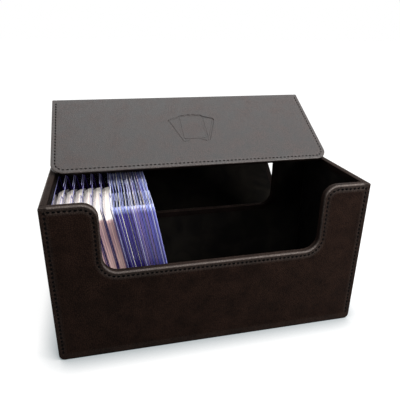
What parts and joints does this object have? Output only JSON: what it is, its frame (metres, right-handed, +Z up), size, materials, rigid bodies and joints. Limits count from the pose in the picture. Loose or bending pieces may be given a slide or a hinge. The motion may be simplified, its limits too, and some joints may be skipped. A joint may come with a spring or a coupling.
{
  "type": "toploader storage box",
  "caption": "Leatherette-covered box for rigid card sleeves, with low-cut front and back walls and a three-panel cover that folds open from the bottom back edge.",
  "frame": {"origin": "middle of the tray's underside, on the surface that it stands on", "axes": "+X to the right along the tray, +Y from the low-cut front wall to the hinge side, +Z up"},
  "size_m": [0.224, 0.1876, 0.1593],
  "materials": {
    "tray_leatherette": "matte pebble-grained dark brown leatherette",
    "cover_leatherette": "matte pebble-grained dark brown leatherette, softly shiny at a low angle",
    "greyboard": "plain grey bookbinder's board",
    "suede_lining": "black microfibre suede",
    "keeper_steel": "plain rolled steel",
    "magnet_nickel": "nickel-plated",
    "thin_sleeve_plastic": "clear rigid plastic with a blue-violet tint at its edges",
    "thick_sleeve_plastic": "clear rigid plastic",
    "thick_card_stock": "matte white card stock, its cut edges warm"
  },
  "bodies": {
    "tray": {"front_wall_leatherette": "tray_leatherette", "front_wall_board": "greyboard", "front_wall_lining": "suede_lining", "left_keeper_plate": "keeper_steel", "right_keeper_plate": "keeper_steel", "back_wall_leatherette": "tray_leatherette", "back_wall_board": "greyboard", "back_wall_lining": "suede_lining", "left_wall_leatherette": "tray_leatherette", "left_wall_board": "greyboard", "left_wall_lining": "suede_lining", "right_wall_leatherette": "tray_leatherette", "right_wall_board": "greyboard", "right_wall_lining": "suede_lining", "base_leatherette": "tray_leatherette", "floor_board": "greyboard", "floor_lining": "suede_lining"},
    "back_cover": {"base_fold": "cover_leatherette", "back_cover_leatherette": "cover_leatherette", "back_cover_board": "greyboard", "back_cover_lining": "suede_lining"},
    "top_cover": {"back_fold": "cover_leatherette", "top_cover_leatherette": "cover_leatherette", "top_cover_board": "greyboard", "top_cover_lining": "suede_lining"},
    "front_flap": {"front_fold": "cover_leatherette", "front_flap_leatherette": "cover_leatherette", "front_flap_board": "greyboard", "front_flap_lining": "suede_lining", "left_magnet": "magnet_nickel", "right_magnet": "magnet_nickel"},
    "toploader_row": {"thick_toploader_1": "thick_sleeve_plastic", "thick_toploader_2": "thick_sleeve_plastic", "thick_toploader_3": "thick_sleeve_plastic", "thick_toploader_4": "thick_sleeve_plastic", "thick_toploader_5": "thick_sleeve_plastic", "thick_toploader_6": "thick_sleeve_plastic", "thick_card_1": "thick_card_stock", "thick_card_2": "thick_card_stock", "thick_card_3": "thick_card_stock", "thick_card_4": "thick_card_stock", "thick_card_5": "thick_card_stock", "thick_card_6": "thick_card_stock", "thin_toploader_1": "thin_sleeve_plastic", "thin_toploader_2": "thin_sleeve_plastic", "thin_toploader_3": "thin_sleeve_plastic", "thin_toploader_4": "thin_sleeve_plastic", "thin_toploader_5": "thin_sleeve_plastic", "thin_toploader_6": "thin_sleeve_plastic", "thin_toploader_7": "thin_sleeve_plastic", "thin_toploader_8": "thin_sleeve_plastic", "thin_toploader_9": "thin_sleeve_plastic", "thin_toploader_10": "thin_sleeve_plastic", "thin_toploader_11": "thin_sleeve_plastic", "thin_toploader_12": "thin_sleeve_plastic", "thin_toploader_13": "thin_sleeve_plastic", "thin_toploader_14": "thin_sleeve_plastic"}
  },
  "joints": [
    {"name": "base_fold_hinge", "type": "hinge", "parent": "tray", "child": "back_cover", "pos_m": [0, 0.0498, 0.0053], "axis": [1, 0, 0], "range_deg": [-38.5, 0]},
    {"name": "back_fold_hinge", "type": "hinge", "parent": "back_cover", "child": "top_cover", "pos_m": [0, 0.13807, 0.07585], "axis": [1, 0, 0], "range_deg": [-86, 0]},
    {"name": "front_fold_hinge", "type": "hinge", "parent": "top_cover", "child": "front_flap", "pos_m": [0, 0.08095, 0.15781], "axis": [1, 0, 0], "range_deg": [-84.5, 0]},
    {"name": "toploader_slide", "type": "slide", "parent": "tray", "child": "toploader_row", "axis": [1, 0, 0], "range_m": [0, 0.13]}
  ]
}
